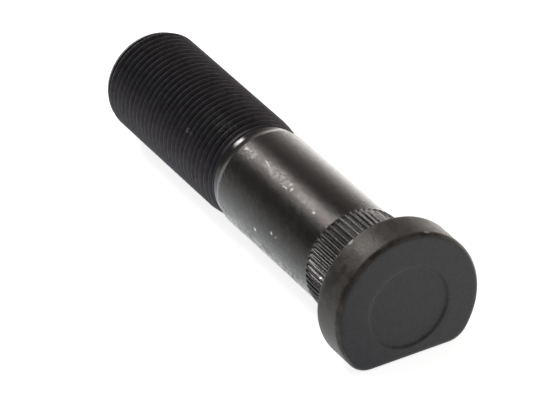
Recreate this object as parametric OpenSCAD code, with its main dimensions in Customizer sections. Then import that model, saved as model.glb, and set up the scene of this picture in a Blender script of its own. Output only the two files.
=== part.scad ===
// Press-in wheel bolt with a round head, one holding flat, a straight knurl and a
// plain shank in front of the thread. It lies as it rests on a table: the axis runs
// along X from the head to the threaded end, and the head's flat faces down.
// The origin is on the axis, in the plane of the seat under the head.

/* [Head] */
// Diameter of the round head
head_d = 28.2; // [25:0.2:34]
// Thickness of the head
head_t = 7.2; // [5:0.1:10]
// Distance from the axis to the holding flat
flat_dist = 10.2; // [9:0.1:11]
// Radius of the corners where the flat runs into the round
corner_r = 4.5; // [2:0.1:6]
// Radius of the rolled rim on the outer face
outer_rim_r = 0.9; // [0.3:0.1:1.2]
// Radius of the rim on the seat side
seat_rim_r = 0.35; // [0.1:0.05:0.8]
// Diameter of the shallow round recess in the outer face, at its floor
recess_d = 15.4; // [10:0.2:17]
// Depth of that recess
recess_depth = 0.35; // [0.1:0.05:1]
// Sideways run of the recess's sloping wall
recess_draft = 0.3; // [0.1:0.05:0.6]

/* [Knurl] */
// Diameter over the tips of the teeth
knurl_d = 20.3; // [20:0.1:21.4]
// Length of the knurl from the seat
knurl_len = 11.3; // [8:0.1:16]
// Number of straight teeth
teeth = 58; // [40:1:66]
// Depth of the grooves between the teeth
tooth_depth = 0.5; // [0.3:0.05:0.6]
// Width of a tooth's land at its tip
tip_land = 0.28; // [0.2:0.02:0.36]
// Width of the groove's floor
root_land = 0.18; // [0.1:0.02:0.26]
// Length over which the tips slope down towards the shank
lead_len = 2.5; // [1:0.1:5]
// Height of the tips over the shank where the teeth begin
lead_step = 0.1; // [0.05:0.01:0.2]
// Length over which the groove floors run out into the shank
runout_len = 0.5; // [0.2:0.1:1]
// Radius of the fillet between the groove floors and the seat
seat_fillet_r = 1.1; // [0.8:0.1:1.6]

/* [Shank and neck] */
// Diameter of the plain shank
shank_d = 19.7; // [19.3:0.1:20]
// Distance from the seat to the end of the shank
shank_end = 42.7; // [30:0.1:50]
// Length of the slope from the shank down to the neck
neck_slope = 1.1; // [0.5:0.1:2]
// Diameter of the neck, the blank that the thread is rolled on
neck_d = 18.8; // [18.4:0.1:19.2]
// Length of the neck between its slope and the first turn of the thread
neck_len = 1.9; // [1:0.1:4]

/* [Thread] */
// Nominal diameter over the thread's crests
thread_d = 20; // [19.8:0.05:20.2]
// Length over which the first, shallow turns of the thread rise out of the neck
thread_rise = 4.4; // [1:0.1:5]
// Length of the bolt from the seat to the threaded end
bolt_len = 87.3; // [60:0.1:110]
// Length of the lead-in cone at the threaded end
end_cone_len = 2.2; // [1:0.1:4]
// How far that cone comes in from the crests at the end face
end_cone = 0.85; // [0.4:0.05:1.2]
// Radius that rounds the edge between the cone and the end face
end_edge_r = 0.8; // [0.3:0.1:1.2]

/* [Hidden] */
$fn = 96;
head_r = head_d / 2;
shank_r = shank_d / 2;
neck_r = neck_d / 2;
thread_r = thread_d / 2;
tip_r = knurl_d / 2;
root_r = tip_r - tooth_depth;
lead_r = shank_r + lead_step;
// centre of the corner radius, beside the flat; in whole hundredths, so that the corner
// meets the flat exactly and the round a little past tangent
corner_past = 0.03;
corner_x = flat_dist - corner_r;
corner_y = ceil(100 * sqrt(pow(head_r - corner_r + corner_past, 2) - pow(corner_x, 2))) / 100;
corner_a = atan2(corner_y, corner_x);
// the grooves are cut a little past the tips, so that the lands stay round
past_tip = 0.05;
tip_pitch = 2 * PI * tip_r / teeth;
groove_tip = (tip_pitch - tip_land) / 2;
groove_root = root_land / 2;
groove_past = groove_tip + past_tip * (groove_tip - groove_root) / tooth_depth;
// the plain core under the teeth stays below the groove floors
core_r = min(root_r, shank_r) - 0.15;
// the fillet under the head ends this far inside the plane of the flat
fillet_in = 0.1;
overlap = 1;

// What a rounded corner of radius r takes off a profile; (x, y) is the corner, and
// sx and sy point out of the material
module corner_off(x, y, r, sx, sy) {
    translate([x - sx * r, y - sy * r])
        difference() {
            scale([sx, sy]) square(r + 0.5);
            circle(r);
        }
}

// Half section of the head between its outer face and the seat, out to radius r
module rim_section(r) {
    difference() {
        translate([0, -head_t]) square([r, head_t]);
        corner_off(r, -head_t, outer_rim_r, 1, -1);
        corner_off(r, 0, seat_rim_r, 1, 1);
    }
}

// Full disc with both rims
module head_disc() {
    rotate_extrude() rim_section(head_r);
}

// What limits the disc on the side of the flat: the section run along the flat, the same
// section turned about each corner's own centre, and beyond the corners no limit at all
module flat_side() {
    reach = head_d;
    translate([0, corner_y, 0])
        rotate([90, 0, 0]) linear_extrude(2 * corner_y) rim_section(flat_dist);
    for (side = [-1, 1])
        translate([corner_x, side * corner_y, 0]) rotate_extrude() rim_section(corner_r);
    translate([0, 0, -head_t - overlap])
        linear_extrude(head_t + 2 * overlap)
            polygon([[0, 0], [reach * cos(corner_a), -reach * sin(corner_a)], [-reach, -reach],
                     [-reach, reach], [reach * cos(corner_a), reach * sin(corner_a)]]);
}

// Round recess in the outer face, with a sloping wall
module head_recess() {
    slope = recess_draft / recess_depth;
    translate([0, 0, -head_t - overlap])
        cylinder(h = overlap + recess_depth,
                 r1 = recess_d / 2 + (overlap + recess_depth) * slope, r2 = recess_d / 2);
}

module head() {
    difference() {
        intersection() {
            head_disc();
            flat_side();
        }
        head_recess();
    }
}

// Outline of all teeth, with one groove floor and two flanks to each pitch
module tooth_outline() {
    groove = [[tip_r + past_tip, -groove_past], [root_r, -groove_root],
              [root_r, groove_root], [tip_r + past_tip, groove_past]];
    polygon([for (i = [0 : teeth - 1], p = groove)
        let (a = (i + 0.5) * 360 / teeth)
        [p[0] * cos(a) - p[1] * sin(a), p[0] * sin(a) + p[1] * cos(a)]]);
}

// Envelope of the tooth tips: round under the head, sloping down to the shank
module tip_envelope() {
    rotate_extrude()
        polygon([[0, -overlap / 2], [tip_r, -overlap / 2], [tip_r, knurl_len - lead_len],
                 [lead_r, knurl_len], [0, knurl_len]]);
}

module knurl() {
    intersection() {
        translate([0, 0, -overlap / 2]) linear_extrude(knurl_len + overlap / 2) tooth_outline();
        tip_envelope();
    }
}

// Fillet that runs from the seat up into the grooves; its foot lies just under their
// floors, and the flat stops it as it stops the head
module seat_fillet() {
    r = seat_fillet_r;
    foot_r = root_r - 0.06;
    intersection() {
        rotate_extrude()
            difference() {
                translate([core_r - 0.5, -overlap / 2])
                    square([foot_r + r - core_r + 0.5, overlap / 2 + r]);
                translate([foot_r + r, r]) circle(r);
            }
        translate([-head_d, -head_d, -overlap])
            cube([head_d + flat_dist - fillet_in, 2 * head_d, 2 * overlap + r]);
    }
}

// Shank, neck, thread cylinder and tapered end, turned from one section
module turned_body() {
    thread_start = shank_end + neck_slope + neck_len + thread_rise;
    rotate_extrude()
        difference() {
            polygon([[0, -overlap], [core_r, -overlap], [core_r, knurl_len - runout_len],
                     [shank_r, knurl_len], [shank_r, shank_end],
                     [neck_r, shank_end + neck_slope], [neck_r, thread_start - thread_rise],
                     [thread_r, thread_start], [thread_r, bolt_len - end_cone_len],
                     [thread_r - end_cone, bolt_len], [0, bolt_len]]);
            end_edge_off();
        }
}

// What rounding takes off the edge between the lead-in cone and the end face; the circle
// stands a hair past both
module end_edge_off() {
    slope = atan(end_cone / end_cone_len);
    edge_x = thread_r - end_cone;
    mid_x = edge_x - end_edge_r * tan(45 - slope / 2);
    past = 0.01;
    difference() {
        translate([mid_x, bolt_len - end_edge_r])
            polygon([[0, 0], [0, 2 * end_edge_r], [3 * end_edge_r, 2 * end_edge_r],
                     [3 * end_edge_r * cos(slope), 3 * end_edge_r * sin(slope)]]);
        translate([mid_x, bolt_len - end_edge_r]) circle(end_edge_r + past);
    }
}

module wheel_bolt() {
    color([0.30, 0.29, 0.29])
        rotate([0, 90, 0]) {
            head();
            knurl();
            seat_fillet();
            turned_body();
        }
}

wheel_bolt();
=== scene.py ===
import math

import bmesh
import bpy
from mathutils import Matrix, Vector


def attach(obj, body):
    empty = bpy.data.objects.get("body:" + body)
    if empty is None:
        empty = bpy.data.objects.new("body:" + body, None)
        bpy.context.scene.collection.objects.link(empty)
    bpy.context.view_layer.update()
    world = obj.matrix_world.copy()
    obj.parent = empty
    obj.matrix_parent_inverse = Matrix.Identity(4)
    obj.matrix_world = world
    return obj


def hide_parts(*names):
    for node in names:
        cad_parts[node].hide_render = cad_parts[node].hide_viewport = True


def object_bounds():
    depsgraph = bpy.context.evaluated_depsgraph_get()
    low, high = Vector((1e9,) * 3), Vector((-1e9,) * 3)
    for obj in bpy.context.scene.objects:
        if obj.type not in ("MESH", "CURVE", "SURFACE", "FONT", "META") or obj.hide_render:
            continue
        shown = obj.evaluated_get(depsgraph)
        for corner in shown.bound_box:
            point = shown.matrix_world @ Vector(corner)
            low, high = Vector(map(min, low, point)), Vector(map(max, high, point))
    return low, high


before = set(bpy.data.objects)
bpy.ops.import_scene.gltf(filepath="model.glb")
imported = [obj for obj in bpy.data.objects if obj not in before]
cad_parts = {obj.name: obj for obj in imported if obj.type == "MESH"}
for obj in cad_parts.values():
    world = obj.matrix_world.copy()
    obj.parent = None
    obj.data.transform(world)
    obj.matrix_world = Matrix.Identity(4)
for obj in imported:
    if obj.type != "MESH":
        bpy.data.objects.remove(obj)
cad_low, cad_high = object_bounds()

# The head was forged hot from the bar's end: a round disc with one side pressed flat,
# rolled rims and a shallow round recess. The whole bolt is worked in millimetres, along X
# from the head to the threaded end, and brought to metres once it is one closed piece.
MM = 1000
# points that lie closer together than this count as one
near = 0.001
# about this axis a spin turns counterclockwise, as seen from the threaded end
spin_axis = (-1, 0, 0)
head_x = cad_low.x * MM
head_r = cad_high.y * MM
flat_z = cad_low.z * MM
corner_r = 4.5
corner_steps = 12
round_steps = 150
flat_cuts = 25
side_steps = 6
outer_rim = 1.0
outer_rim_steps = 6
seat_rim = 0.35
seat_rim_steps = 3
face_rings = 5
recess_r = 7.7
recess_depth = 0.35
recess_lip = 0.45
corner_z = flat_z + corner_r
corner_y = math.sqrt((head_r - corner_r) ** 2 - corner_z ** 2)
corner_turn = math.pi / 2 + math.atan2(corner_z, corner_y)
round_turn = math.tau - 2 * corner_turn
rim_r = head_r - outer_rim
lip_r = recess_r + recess_lip


def open_piece(name, primitive, **how):
    """Adds a primitive by itself and opens it for editing, with all of it selected"""
    if bpy.context.object and bpy.context.object.mode == "EDIT":
        bpy.ops.object.mode_set(mode="OBJECT")
    bpy.ops.object.select_all(action="DESELECT")
    primitive(**how)
    piece = bpy.context.object
    piece.name = name
    bpy.ops.object.transform_apply(location=True, rotation=True, scale=True)
    bpy.ops.object.mode_set(mode="EDIT")
    bpy.ops.mesh.select_mode(type="VERT")
    bpy.ops.mesh.select_all(action="SELECT")
    return piece


def open_point(name, place):
    """Starts a piece as a single selected point"""
    piece = open_piece(name, bpy.ops.mesh.primitive_plane_add, size=0.1, location=place)
    bpy.ops.mesh.merge(type="CENTER")
    return piece


def pick(kind, test):
    """Selects the vertices, edges or faces of the open piece that pass the test"""
    bpy.ops.mesh.select_mode(type={"verts": "VERT", "edges": "EDGE", "faces": "FACE"}[kind])
    bpy.ops.mesh.select_all(action="DESELECT")
    mesh = bmesh.from_edit_mesh(bpy.context.object.data)
    for part in getattr(mesh, kind):
        if test(part):
            part.select_set(True)
    mesh.select_flush_mode()
    bmesh.update_edit_mesh(bpy.context.object.data)


def push(x=0.0):
    """Extrudes what is selected along the bolt by that much"""
    bpy.ops.mesh.extrude_region_move(TRANSFORM_OT_translate={"value": (x, 0, 0)})


def draw_to(r):
    """Scales what is selected about the bolt's axis, to a mean radius of r"""
    mesh = bmesh.from_edit_mesh(bpy.context.object.data)
    reach = [math.hypot(v.co.y, v.co.z) for v in mesh.verts if v.select]
    share = r * len(reach) / sum(reach)
    bpy.ops.transform.resize(value=(1, share, share), center_override=(0, 0, 0))


def close_up(merge=0.002):
    """Merges doubles, turns the faces outward and closes the piece's editing"""
    bpy.ops.mesh.select_all(action="SELECT")
    bpy.ops.mesh.remove_doubles(threshold=merge)
    bpy.ops.mesh.normals_make_consistent(inside=False)
    bpy.ops.object.mode_set(mode="OBJECT")


# the outline runs round one corner, round the disc, round the other corner and back along
# the flat, and is then drawn out to the head's thickness and rounded at both rims
head = open_point("head", (head_x, corner_y, flat_z))
for centre, turn, steps in (((head_x, corner_y, corner_z), corner_turn, corner_steps),
                            ((head_x, 0, 0), round_turn, round_steps),
                            ((head_x, -corner_y, corner_z), corner_turn, corner_steps)):
    bpy.ops.mesh.spin(steps=steps, angle=turn, center=centre, axis=spin_axis)
pick("verts", lambda v: abs(v.co.z - flat_z) < near)
bpy.ops.mesh.edge_face_add()
bpy.ops.mesh.subdivide(number_cuts=flat_cuts)
bpy.ops.mesh.select_all(action="SELECT")
bpy.ops.mesh.edge_face_add()
for step in range(side_steps):
    push(-head_x / side_steps)
for x, rim, steps in ((head_x, outer_rim, outer_rim_steps), (0, seat_rim, seat_rim_steps)):
    pick("edges", lambda e: all(abs(v.co.x - x) < near for v in e.verts))
    bpy.ops.mesh.bevel(offset=rim, offset_type="OFFSET", segments=steps, affect="EDGES")

# the outer face is opened and its outline drawn in ring by ring; each ring is rounder than
# the one before, in even steps, and the one at the recess's lip is a circle
pick("faces", lambda f: all(abs(v.co.x - head_x) < near for v in f.verts))
bpy.ops.mesh.delete(type="ONLY_FACE")
pick("edges", lambda e: len(e.link_faces) < 2)
out_of_round = 1 / rim_r
for ring in range(1, face_rings + 1):
    ring_r = rim_r + (lip_r - rim_r) * ring / face_rings
    still_out = (1 - ring / face_rings) / ring_r
    push()
    bpy.ops.transform.tosphere(value=1 - still_out / out_of_round,
                               center_override=(head_x, 0, 0))
    draw_to(ring_r)
    out_of_round = still_out

# the recess has a soft edge: how far outside its radius each ring lies, and the share of
# the depth by which it sinks
for outside, share in ((0.30, 0.06), (0.18, 0.14), (0.06, 0.26), (-0.06, 0.26), (-0.18, 0.17),
                       (-0.30, 0.08), (-0.45, 0.03)):
    push(recess_depth * share)
    draw_to(recess_r + outside)
for share in (0.79, 0.57, 0.31):
    push()
    draw_to(recess_r * share)
bpy.ops.mesh.edge_face_add()
close_up()

# The shank is turned and rolled: fillet under the head, straight knurl, plain shank and a
# hollow slope down to the neck. Its rings have the same twelve corners to a tooth from end
# to end, and lie as circles where there are no teeth.
foot_x = -0.6
seat_fillet = 1.1
teeth = 58
tooth_corners = 12
tooth_curve = 2.4
tip_r = 10.15
floor_r = 9.65
knurl_len = 11.3
lead_len = 2.5
shank_r = 9.85
shank_end_r = 9.838
slope_start = 42.9
slope_len = 1.9
slope_steps = 12
slope_hollow = 1.7
neck_r = 9.42
neck_end = 45.5
neck_end_r = 9.37
rise_end = 50.0
core_r = 9.05
core_end_r = 8.9
fillet_in = 0.1
hold = 0.1


def fillet_r(x):
    """Radius of the groove floors where the fillet under the head lifts them"""
    if x >= seat_fillet:
        return floor_r
    return floor_r + seat_fillet - math.sqrt(seat_fillet ** 2 - (seat_fillet - x) ** 2)


def corner_place(v):
    """How many corners away from the middle of its tooth a vertex is"""
    turn = math.atan2(v.co.z, v.co.y) / math.tau
    place = round(turn * teeth * tooth_corners) % tooth_corners
    return min(place, tooth_corners - place)


# each ring's place, and its radius at the teeth's tips and at the groove floors; towards
# the shank the tips come down and the floors run out, and a ring close by holds each edge
rings = [(foot_x, tip_r, tip_r), (foot_x + hold, fillet_r(0), fillet_r(0))]
for x in (0, 0.1, 0.22, 0.4, 0.7, seat_fillet):
    rings.append((x, max(tip_r, fillet_r(x)), fillet_r(x)))
for x in (3.2, 5.2, 7.2, knurl_len - lead_len):
    rings.append((x, tip_r, floor_r))
for before, down, up in ((1.6, 0.06, 0), (0.9, 0.11, 0), (0.5, 0.14, 0), (0.25, 0.16, 0.01),
                         (0.1, 0.18, 0.07), (0, 0.21, 0.19)):
    rings.append((knurl_len - before, tip_r - down, floor_r + up))
for x in (knurl_len + hold, knurl_len + 0.7, slope_start - hold):
    rings.append((x, shank_r, shank_r))
rings.append((slope_start, shank_end_r, shank_end_r))
for step in range(1, slope_steps + 1):
    r = neck_r + (shank_r - neck_r) * (1 - step / slope_steps) ** slope_hollow
    rings.append((slope_start + slope_len * step / slope_steps, r, r))
for x, r in ((neck_end, neck_end_r), (rise_end, core_r), (rise_end + 1, core_end_r)):
    rings.append((x, r, r))

shank = open_piece("shank", bpy.ops.mesh.primitive_circle_add, vertices=teeth * tooth_corners,
                   radius=tip_r, fill_type="NGON", location=(foot_x, 0, 0),
                   rotation=(0, math.pi / 2, 0))
for ring_before, (x, tip, groove) in zip(rings, rings[1:]):
    push(x - ring_before[0])
    for place in range(tooth_corners // 2 + 1):
        share = math.sin(math.pi * place / tooth_corners) ** tooth_curve
        pick("verts", lambda v: abs(v.co.x - x) < near and corner_place(v) == place)
        draw_to(tip + (groove - tip) * share)
    pick("faces", lambda f: all(abs(v.co.x - x) < near for v in f.verts))
# the fillet is flattened just inside the plane of the head's flat
fillet_z = flat_z + fillet_in
pick("verts", lambda v: v.co.x < seat_fillet - near and v.co.z < fillet_z)
bpy.ops.transform.resize(value=(1, 1, 0), center_override=(0, 0, fillet_z))
close_up()

# The thread is rolled on the blank behind the neck, right-handed, with rounded crests. One
# pitch of its outline is turned up the axis and cut off square before the neck's end and
# at the bolt's end.
pitch = 1.5
crest_r = 10.0
crest_side_r = 9.95
flank_top_r = 9.85
flank_foot_r = 9.2
root_r = 9.08
first_turn_x = 43.0
turns = 31
turn_steps = 96
thread_x = 45.2
first_crest = 0.95
bolt_end = cad_high.x * MM


def chain(name, points):
    """A row of edges through points of x and radius, as a profile to be turned"""
    x, r = points[0]
    piece = open_point(name, (x, 0, r))
    for (x0, r0), (x1, r1) in zip(points, points[1:]):
        bpy.ops.mesh.extrude_vertices_move(
            TRANSFORM_OT_translate={"value": (x1 - x0, 0, r1 - r0)})
    return piece


thread = chain("thread", [(first_turn_x + share * pitch, r) for share, r in (
    (-0.19, flank_top_r), (-0.11, crest_side_r), (0, crest_r), (0.11, crest_side_r),
    (0.19, flank_top_r), (0.41, flank_foot_r), (0.46, root_r), (0.54, root_r),
    (0.59, flank_foot_r), (0.81, flank_top_r))])
bpy.ops.object.mode_set(mode="OBJECT")
helix = thread.modifiers.new("helix", "SCREW")
helix.axis = "X"
helix.screw_offset = pitch
helix.steps = turn_steps
helix.render_steps = turn_steps
helix.iterations = turns
helix.use_merge_vertices = True
helix.merge_threshold = near
bpy.ops.object.modifier_apply(modifier="helix")
bpy.ops.object.mode_set(mode="EDIT")
bpy.ops.mesh.select_all(action="SELECT")
bpy.ops.mesh.remove_doubles(threshold=0.004)
for x, clear_before, clear_after in ((thread_x, True, False), (bolt_end, False, True)):
    bpy.ops.mesh.select_all(action="SELECT")
    bpy.ops.mesh.bisect(plane_co=(x, 0, 0), plane_no=(1, 0, 0), use_fill=True,
                        clear_inner=clear_before, clear_outer=clear_after)
close_up(merge=0.0005)
# the first turns are drawn in, so that they stay low where the die runs out
for v in thread.data.vertices:
    risen = min(1, max(0, (v.co.x - neck_end) / (rise_end - neck_end)))
    share = first_crest + (1 - first_crest) * risen
    v.co.y *= share
    v.co.z *= share

# The bar that the thread is rolled on rises out of the neck at one end, and at the free end
# it tapers in and is rounded over. It is turned as a blank of its own, past the crests in
# between, and what the thread has in common with it is the threaded end.
blank_r = 10.02
blank_rise_r = 9.5
blank_rise = 0.35
blank_full = 1.2
cone_len = 2.2
cone_in = 0.85
edge_r = 0.8
edge_steps = 6
blank_steps = 192
blank_x = thread_x - 1
blank_foot_r = neck_end_r - 0.05
cone_x = bolt_end - cone_len
cone_slope = math.atan(cone_in / cone_len)
edge_mid_r = crest_r - cone_in - edge_r * math.tan(math.pi / 4 - cone_slope / 2)
outline = [(blank_x, 0), (blank_x, blank_foot_r), (neck_end, blank_foot_r),
           (neck_end + blank_rise, blank_rise_r), (neck_end + blank_full, blank_r),
           (cone_x - 2, blank_r), (cone_x + hold, crest_r)]
for step in range(edge_steps + 1):
    turn = cone_slope + (math.pi / 2 - cone_slope) * step / edge_steps
    outline.append((bolt_end - edge_r + edge_r * math.sin(turn),
                    edge_mid_r + edge_r * math.cos(turn)))
outline.append((bolt_end, 0))
blank = chain("blank", outline)
bpy.ops.mesh.select_all(action="SELECT")
bpy.ops.mesh.spin(steps=blank_steps, angle=math.tau, center=(0, 0, 0), axis=spin_axis)
close_up()


def combine(piece, other, how):
    """Cuts or joins a piece with another, which is used up"""
    bpy.ops.object.select_all(action="DESELECT")
    bpy.context.view_layer.objects.active = piece
    piece.select_set(True)
    tool = piece.modifiers.new("combine", "BOOLEAN")
    tool.operation = how
    tool.object = other
    tool.solver = "MANIFOLD"
    bpy.ops.object.modifier_apply(modifier="combine")
    bpy.data.objects.remove(other)


combine(thread, blank, "INTERSECT")
combine(shank, thread, "UNION")
combine(shank, head, "UNION")
bolt = shank
bolt.name = "wheel_bolt_steel"
bpy.ops.object.mode_set(mode="EDIT")
bpy.ops.mesh.select_all(action="SELECT")
bpy.ops.transform.resize(value=(1 / MM, 1 / MM, 1 / MM), center_override=(0, 0, 0))
bpy.ops.object.mode_set(mode="OBJECT")
bpy.ops.object.shade_smooth_by_angle(angle=math.radians(30))

# The bolt's finish is dark steel: one film of black oxide and oil, matt on the forged face,
# brownish on the head's side, rubbed and frosted along the shank, and worn bright in specks.
# The rubs that lie along the lamp's streak are also painted highlight, and the frosted places
# low on the shank's near side are also painted reflection.
# Every pattern is worked in millimetres on the bolt.
bare_steel = (0.35, 0.34, 0.33)


def add(tree, kind, inputs=None, **settings):
    """Adds a shader node; inputs are sockets or plain values"""
    node = tree.nodes.new(kind)
    for key, value in settings.items():
        setattr(node, key, value)
    for key, value in (inputs or {}).items():
        if isinstance(value, bpy.types.NodeSocket):
            tree.links.new(value, node.inputs[key])
        else:
            node.inputs[key].default_value = value
    return node


def mask_group(name, **inputs):
    """A node group that puts out a mask, and its inner sockets; an input of None is a vector"""
    tree = bpy.data.node_groups.new(name, "ShaderNodeTree")
    for key, value in inputs.items():
        kind = "NodeSocketVector" if value is None else "NodeSocketFloat"
        socket = tree.interface.new_socket(key, in_out="INPUT", socket_type=kind)
        if value is not None:
            socket.default_value = value
    tree.interface.new_socket("Mask", in_out="OUTPUT", socket_type="NodeSocketFloat")
    return tree, tree.nodes.new("NodeGroupInput").outputs, tree.nodes.new("NodeGroupOutput").inputs


# clouds with soft edges, for the two tones of a finish and for its specks
patches, given, result = mask_group("patches", Place=None, Scale=1.0, Low=0.4, High=0.6)
cloud = add(patches, "ShaderNodeTexNoise", {"Vector": given["Place"], "Scale": given["Scale"],
            "Detail": 4.0, "Roughness": 0.6})
spread = add(patches, "ShaderNodeMapRange", {"Value": cloud.outputs["Fac"],
             "From Min": given["Low"], "From Max": given["High"]},
             interpolation_type="SMOOTHSTEP")
patches.links.new(spread.outputs["Result"], result["Mask"])

# one mark with a ragged edge, broken into flecks unless it is whole
mark, given, result = mask_group("mark", Place=None, Centre=None, Reach=None, Ragged=0.7,
                                 Whole=0.0, Flecks=2.0)
jitter = add(mark, "ShaderNodeTexNoise", {"Vector": given["Place"], "Scale": 2.0, "Detail": 3.0})
shift = add(mark, "ShaderNodeVectorMath", {0: jitter.outputs["Color"], 1: (0.5, 0.5, 0.5)},
            operation="SUBTRACT")
ragged = add(mark, "ShaderNodeVectorMath", {0: shift.outputs[0], "Scale": given["Ragged"]},
             operation="SCALE")
moved = add(mark, "ShaderNodeVectorMath", {0: given["Place"], 1: ragged.outputs[0]},
            operation="ADD")
offset = add(mark, "ShaderNodeVectorMath", {0: moved.outputs[0], 1: given["Centre"]},
             operation="SUBTRACT")
sized = add(mark, "ShaderNodeVectorMath", {0: offset.outputs[0], 1: given["Reach"]},
            operation="DIVIDE")
away = add(mark, "ShaderNodeVectorMath", {0: sized.outputs[0]}, operation="LENGTH")
inside = add(mark, "ShaderNodeMapRange", {"Value": away.outputs["Value"], "From Min": 1.1,
             "From Max": 0.6}, interpolation_type="SMOOTHSTEP")
flecks = add(mark, "ShaderNodeTexNoise", {"Vector": given["Place"], "Scale": given["Flecks"],
             "Detail": 5.0, "Roughness": 0.7})
broken = add(mark, "ShaderNodeMapRange", {"Value": flecks.outputs["Fac"], "From Min": 0.46,
             "From Max": 0.60})
kept = add(mark, "ShaderNodeMath", {0: broken.outputs["Result"], 1: given["Whole"]},
           operation="MAXIMUM")
both = add(mark, "ShaderNodeMath", {0: inside.outputs["Result"], 1: kept.outputs[0]},
           operation="MULTIPLY")
mark.links.new(both.outputs[0], result["Mask"])

# tops that are unevenly rubbed, told by their distance from the bolt's axis
crests, given, result = mask_group("crests", Place=None, Foot=9.9, Top=10.0)
across = add(crests, "ShaderNodeVectorMath", {0: given["Place"], 1: (0, 1, 1)},
             operation="MULTIPLY")
radius = add(crests, "ShaderNodeVectorMath", {0: across.outputs[0]}, operation="LENGTH")
near_top = add(crests, "ShaderNodeMapRange", {"Value": radius.outputs["Value"],
               "From Min": given["Foot"], "From Max": given["Top"]})
rubbing = add(crests, "ShaderNodeTexNoise", {"Vector": given["Place"], "Scale": 0.9,
              "Detail": 4.0, "Roughness": 0.7})
uneven = add(crests, "ShaderNodeMapRange", {"Value": rubbing.outputs["Fac"], "From Min": 0.44,
             "From Max": 0.62})
worn_top = add(crests, "ShaderNodeMath", {0: near_top.outputs["Result"],
               1: uneven.outputs["Result"]}, operation="MULTIPLY")
crests.links.new(worn_top.outputs[0], result["Mask"])


def marked(tree, place, colour, around, row, **settings):
    """A mark on a surface of radius around, and the colour with that mark laid over it"""
    x, turn, length, width, tone = row
    angle = math.radians(turn)
    spot = add(tree, "ShaderNodeGroup", {"Place": place, "Reach": (length, width, width),
               "Centre": (x, around * math.cos(angle), around * math.sin(angle)), **settings},
               node_tree=mark)
    mixed = add(tree, "ShaderNodeMix", {0: spot.outputs["Mask"], 6: colour,
                7: (tone, 0.96 * tone, 0.92 * tone, 1)}, data_type="RGBA")
    return spot.outputs["Mask"], mixed.outputs[2]


def steel(name, dark, light, scale, rough, grain, wave, specks_from, worn=bare_steel,
          patchy=(0.35, 0.65), metallic=1.0, crest=None, around=0.0, rubs_and_painted_highlights=(), frost_and_painted_reflection=()):
    """Gives the bolt a finish and returns its number: two tones in patches, worn in specks

    A crest has the radii between which it wears, and its colour. A rub is lighter steel: worn
    steel, and painted highlight where it lies along the lamp's streak. A frosted place is
    lighter, rougher steel: frosting, and painted reflection. Each has its place along the bolt,
    its turn from +Y in degrees, half its length, half its width and its tone. A rub also says
    how whole it is, from 0 for flecks to 1."""
    finish = bpy.data.materials.new(name)
    finish.use_nodes = True
    tree = finish.node_tree
    shader = tree.nodes["Principled BSDF"]
    shader.inputs["Metallic"].default_value = metallic
    texture_place = add(tree, "ShaderNodeTexCoord")
    in_mm = add(tree, "ShaderNodeMapping", {"Vector": texture_place.outputs["Object"],
                "Scale": (MM, MM, MM)})
    place = in_mm.outputs["Vector"]
    tones = add(tree, "ShaderNodeGroup", {"Place": place, "Scale": scale, "Low": patchy[0],
                "High": patchy[1]}, node_tree=patches)
    specks = add(tree, "ShaderNodeGroup", {"Place": place, "Scale": 2.2, "Low": specks_from,
                 "High": specks_from + 0.06}, node_tree=patches)
    two_tones = add(tree, "ShaderNodeMix", {0: tones.outputs["Mask"], 6: (*dark, 1),
                    7: (*light, 1)}, data_type="RGBA")
    with_specks = add(tree, "ShaderNodeMix", {0: specks.outputs["Mask"],
                      6: two_tones.outputs[2], 7: (*worn, 1)}, data_type="RGBA")
    colour = with_specks.outputs[2]
    if crest:
        foot, top, crest_tone = crest
        tops = add(tree, "ShaderNodeGroup", {"Place": place, "Foot": foot, "Top": top},
                   node_tree=crests)
        colour = add(tree, "ShaderNodeMix", {0: tops.outputs["Mask"], 6: colour,
                     7: (*crest_tone, 1)}, data_type="RGBA").outputs[2]
    # a rub lays lighter steel over the colour: worn steel, and painted highlight where it lies
    # along the lamp's streak
    for *row, whole in rubs_and_painted_highlights:
        colour = marked(tree, place, colour, around, row, Whole=whole)[1]
    dulled = add(tree, "ShaderNodeMapRange", {"Value": tones.outputs["Mask"],
                 "To Min": rough[0], "To Max": rough[1]}).outputs["Result"]
    # a frosted place lays lighter, rougher steel over the colour: frosting, and painted reflection
    for row in frost_and_painted_reflection:
        frost_reflection_mask, colour = marked(tree, place, colour, around, row, Ragged=1.5, Flecks=0.9)
        dulled = add(tree, "ShaderNodeMath", {0: frost_reflection_mask, 1: 0.22, 2: dulled},
                     operation="MULTIPLY_ADD").outputs[0]
    tree.links.new(colour, shader.inputs["Base Color"])
    tree.links.new(dulled, shader.inputs["Roughness"])
    fine = add(tree, "ShaderNodeTexNoise", {"Vector": place, "Scale": 3.0, "Detail": 6.0,
               "Roughness": 0.7})
    broad = add(tree, "ShaderNodeTexNoise", {"Vector": place, "Scale": 1.4, "Detail": 4.0,
                "Roughness": 0.6})
    height = add(tree, "ShaderNodeMath", {0: broad.outputs["Fac"], 1: wave,
                 2: fine.outputs["Fac"]}, operation="MULTIPLY_ADD")
    bump = add(tree, "ShaderNodeBump", {"Height": height.outputs[0], "Strength": grain,
               "Distance": 0.0001})
    tree.links.new(bump.outputs["Normal"], shader.inputs["Normal"])
    bolt.data.materials.append(finish)
    return len(bolt.data.materials) - 1


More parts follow.
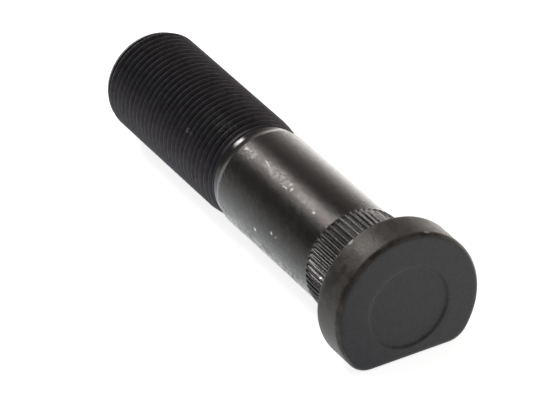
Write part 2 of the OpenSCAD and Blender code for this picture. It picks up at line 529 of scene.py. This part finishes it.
bolt.data.materials.clear()
forged_face = steel(
    "forged_face", dark=(0.025, 0.025, 0.029), light=(0.044, 0.044, 0.048), scale=0.45,
    metallic=0.5, rough=(0.58, 0.66), grain=0.7, wave=0.9, worn=(0.07, 0.07, 0.075),
    specks_from=0.72)
head_side = steel(
    "head_side", dark=(0.043, 0.036, 0.032), light=(0.076, 0.066, 0.058), scale=0.5,
    patchy=(0.40, 0.60), metallic=0.7, rough=(0.42, 0.50), grain=0.4, wave=0.8,
    worn=(0.3, 0.29, 0.27), specks_from=0.72, around=head_r,
    # the broad flecked rubs at 67 and 50 degrees lie where the lamp's streak falls: worn steel and
    # painted highlight
    rubs_and_painted_highlights=((-6.4, 109, 0.35, 0.7, 0.3, 1), (-3.6, 67, 2.4, 3.0, 0.085, 0),
          (-1.5, 50, 1.5, 2.5, 0.07, 0), (-0.4, 60, 0.5, 0.6, 0.3, 1)))
knurl_steel = steel(
    "knurl_steel", dark=(0.040, 0.037, 0.037), light=(0.054, 0.050, 0.049), scale=0.5,
    rough=(0.22, 0.28), grain=0.3, wave=0.0, specks_from=0.72,
    crest=(tip_r - 0.17, tip_r - 0.03, (0.070, 0.067, 0.065)), around=tip_r - 0.05,
    # the long rub at 76 degrees is painted highlight on the tooth tips beside the lamp's streak
    rubs_and_painted_highlights=((6.2, 14, 0.4, 0.3, 0.3, 1), (7.0, 76, 5.0, 1.7, 0.11, 0.7)))
shank_steel = steel(
    "shank_steel", dark=(0.039, 0.034, 0.033), light=(0.050, 0.045, 0.043), scale=0.7,
    rough=(0.20, 0.25), grain=0.5, wave=0.8, specks_from=0.70, around=shank_r,
    # the long flecked rubs at 62 to 66 degrees lie along the lamp's streak: worn steel and painted
    # highlight
    rubs_and_painted_highlights=((30.5, 66, 5.5, 1.5, 0.085, 0), (20.0, 64, 4.0, 1.2, 0.07, 0),
          (40.0, 62, 2.5, 1.6, 0.085, 0), (35.2, 67.5, 0.8, 0.14, 0.11, 1),
          (34.2, 66, 0.5, 0.14, 0.10, 1), (32.5, 63, 0.6, 0.15, 0.09, 1),
          (26.8, 60, 0.8, 0.13, 0.15, 1), (26.3, 66, 0.2, 0.5, 0.10, 1),
          (25.1, 63, 0.25, 0.5, 0.11, 1), (16.6, 61, 0.4, 0.3, 0.15, 1),
          (41.6, 64, 0.6, 0.4, 0.11, 1), (29.6, 1, 0.5, 0.4, 0.45, 1),
          (23.9, 13, 0.5, 0.35, 0.4, 1), (22.3, 13, 0.5, 0.4, 0.2, 0)),
    # the frosted places lie low on the near side: frosted steel and painted reflection
    frost_and_painted_reflection=((40.0, -24, 4.5, 3.5, 0.09), (31.0, -20, 6.0, 4.2, 0.11),
           (22.0, -22, 6.0, 4.4, 0.12), (15.0, -20, 4.0, 3.8, 0.10)))
neck_steel = steel(
    "neck_steel", dark=(0.041, 0.038, 0.037), light=(0.050, 0.047, 0.045), scale=0.5,
    rough=(0.15, 0.18), grain=0.1, wave=2.0, specks_from=0.70, around=neck_r,
    # this rub is a painted highlight: lighter steel where the lamp's streak crosses the neck
    rubs_and_painted_highlights=((44.8, 64, 0.9, 1.6, 0.09, 1),))
thread_steel = steel(
    "thread_steel", dark=(0.045, 0.040, 0.045), light=(0.066, 0.060, 0.065), scale=0.8,
    rough=(0.48, 0.56), grain=0.3, wave=0.6, worn=(0.2, 0.2, 0.2), specks_from=0.74,
    crest=(crest_r - 0.4, crest_r, (0.070, 0.066, 0.070)), around=crest_r - 0.1,
    # the rubs at 66 degrees lie along the lamp's streak: painted highlight on the thread
    rubs_and_painted_highlights=((57.2, 37, 1.4, 0.5, 0.3, 0), (49.5, 66, 3.0, 1.8, 0.13, 0),
          (55.0, 66, 4.0, 1.6, 0.10, 0)))
# the forged face takes in what looks straight out of the head, and its recess
face_lean = -0.8
face_r = 12.0
for face in bolt.data.polygons:
    x = face.center.x * MM
    r = math.hypot(face.center.y, face.center.z) * MM
    if x < near:
        forged = face.normal.x < face_lean or r < face_r and x < head_x / 2
        face.material_index = forged_face if forged else head_side
    elif x < knurl_len + hold:
        face.material_index = knurl_steel
    elif x < slope_start + hold / 2:
        face.material_index = shank_steel
    elif x < neck_end + hold / 2:
        face.material_index = neck_steel
    else:
        face.material_index = thread_steel
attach(bolt, "root")
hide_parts("wheel_bolt")

# Photograph's viewpoint: a long lens in front of the head and above it, aimed at the middle
# of the bolt.
view_aim = Vector((39.79, 1.97, -1.75)) / MM
view_distance = 892.2 / MM
view_turn = math.radians(152.849)
view_height = math.radians(31.623)
view_roll = math.radians(-3.599)
lens_in_pixels = 5000
image_width = 533
sensor_width = 36
back = Vector((math.cos(view_turn) * math.cos(view_height),
               math.sin(view_turn) * math.cos(view_height), math.sin(view_height)))
camera = bpy.data.objects.new("camera", bpy.data.cameras.new("camera"))
bpy.context.collection.objects.link(camera)
camera.data.sensor_width = sensor_width
camera.data.lens = lens_in_pixels / image_width * sensor_width
camera.data.clip_end = 20
camera.matrix_world = (Matrix.Translation(view_aim + back * view_distance)
                       @ (-back).to_track_quat("-Z", "Y").to_matrix().to_4x4()
                       @ Matrix.Rotation(view_roll, 4, "Z"))
bpy.context.scene.camera = camera
bpy.context.scene.view_settings.view_transform = "Standard"

# White paper floor. The camera sees it white but for the bolt's shadow. For the steel's
# reflections the paper glows, a painted reflection that is white close to the bolt and darker
# the farther it lies to the left.
bpy.ops.object.select_all(action="DESELECT")
bpy.ops.mesh.primitive_plane_add(size=12, location=(0, 0, cad_low.z))
floor = bpy.context.object
floor.name = "studio_floor"
bpy.ops.object.transform_apply(location=True)
paper = bpy.data.materials.new("white_paper")
paper.use_nodes = True
sheet = paper.node_tree
paper_shader = sheet.nodes["Principled BSDF"]
paper_shader.inputs["Base Color"].default_value = (0.9, 0.9, 0.9, 1)
paper_shader.inputs["Roughness"].default_value = 0.9
floor_rays = add(sheet, "ShaderNodeLightPath")
floor_place = add(sheet, "ShaderNodeTexCoord")
floor_axes = add(sheet, "ShaderNodeSeparateXYZ", {"Vector": floor_place.outputs["Object"]})
leftward = add(sheet, "ShaderNodeMapRange", {"Value": floor_axes.outputs["Y"],
               "From Min": -0.03, "From Max": 0.12})
# the glow that the steel's reflections see, a painted reflection: bright beside the bolt, darker
# to the left
reflected_glow = add(sheet, "ShaderNodeValToRGB", {"Fac": leftward.outputs["Result"]})
ramp = reflected_glow.color_ramp.elements
ramp[0].position = 0.13
ramp[0].color = (1.0, 0.97, 0.93, 1)
ramp[1].position = 0.80
ramp[1].color = (0.13, 0.14, 0.14, 1)
for position, shade in ((0.23, (0.69, 0.69, 0.68, 1)), (0.28, (0.44, 0.47, 0.48, 1)),
                        (0.34, (0.42, 0.45, 0.46, 1)), (0.50, (0.27, 0.29, 0.295, 1))):
    ramp.new(position).color = shade
floor_colour = add(sheet, "ShaderNodeMix", {0: floor_rays.outputs["Is Camera Ray"],
                   6: reflected_glow.outputs["Color"], 7: (1, 1, 1, 1)}, data_type="RGBA")
seen = add(sheet, "ShaderNodeMath", {0: floor_rays.outputs["Is Camera Ray"], 1: 0.8},
           operation="MULTIPLY")
lift = add(sheet, "ShaderNodeMath", {0: floor_rays.outputs["Is Glossy Ray"], 1: 1.9,
           2: seen.outputs[0]}, operation="MULTIPLY_ADD")
sheet.links.new(floor_colour.outputs[2], paper_shader.inputs["Emission Color"])
sheet.links.new(lift.outputs[0], paper_shader.inputs["Emission Strength"])
floor.data.materials.append(paper)

# Studio room: white to the camera, and for the bolt a soft light that is dim overhead, and
# stronger and warmer near the horizon on the right.
world = bpy.data.worlds.new("studio")
bpy.context.scene.world = world
world.use_nodes = True
sky = world.node_tree
sky.nodes.clear()
sky_rays = add(sky, "ShaderNodeLightPath")
sky_place = add(sky, "ShaderNodeTexCoord")
sky_axes = add(sky, "ShaderNodeSeparateXYZ", {"Vector": sky_place.outputs["Generated"]})
overhead = add(sky, "ShaderNodeMapRange", {"Value": sky_axes.outputs["Z"], "From Min": -0.02,
               "From Max": 0.15, "To Min": 0.5, "To Max": 0.3}, interpolation_type="SMOOTHSTEP")
window = add(sky, "ShaderNodeMapRange", {"Value": sky_axes.outputs["Z"], "From Min": 0.0,
             "From Max": 0.4, "To Min": 1.15, "To Max": 0.36}, interpolation_type="SMOOTHSTEP")
rightward = add(sky, "ShaderNodeMapRange", {"Value": sky_axes.outputs["Y"], "From Min": 0.0,
                "From Max": -0.5}, interpolation_type="SMOOTHSTEP")
room_light = add(sky, "ShaderNodeMix", {0: rightward.outputs["Result"],
                 2: overhead.outputs["Result"], 3: window.outputs["Result"]},
                 data_type="FLOAT")
tint = add(sky, "ShaderNodeMix", {0: rightward.outputs["Result"], 6: (0.97, 1, 1, 1),
           7: (1, 0.955, 0.90, 1)}, data_type="RGBA")
strength = add(sky, "ShaderNodeMix", {0: sky_rays.outputs["Is Camera Ray"],
               2: room_light.outputs[0], 3: 1.0}, data_type="FLOAT")
sky_colour = add(sky, "ShaderNodeMix", {0: sky_rays.outputs["Is Camera Ray"],
                 6: tint.outputs[2], 7: (1, 1, 1, 1)}, data_type="RGBA")
glow = add(sky, "ShaderNodeBackground", {"Color": sky_colour.outputs[2],
           "Strength": strength.outputs[0]})
add(sky, "ShaderNodeOutputWorld", {"Surface": glow.outputs["Background"]})

# Softbox high up beyond the threaded end. It faces the middle of the bolt, and its image is
# the bright streak along the shank.
box_aim = Vector((0.04, 0, 0))
box_toward = Vector((0.757, 0.145, 0.637)).normalized()
box_distance = 1.0
box_light = bpy.data.lights.new("streak_box", "AREA")
box_light.shape = "RECTANGLE"
box_light.size = 0.25
box_light.size_y = 0.28
box_light.energy = 3.4
streak_box = bpy.data.objects.new("streak_box", box_light)
bpy.context.collection.objects.link(streak_box)
streak_box.location = box_aim + box_toward * box_distance
streak_box.rotation_euler = box_toward.to_track_quat("Z", "Y").to_euler()
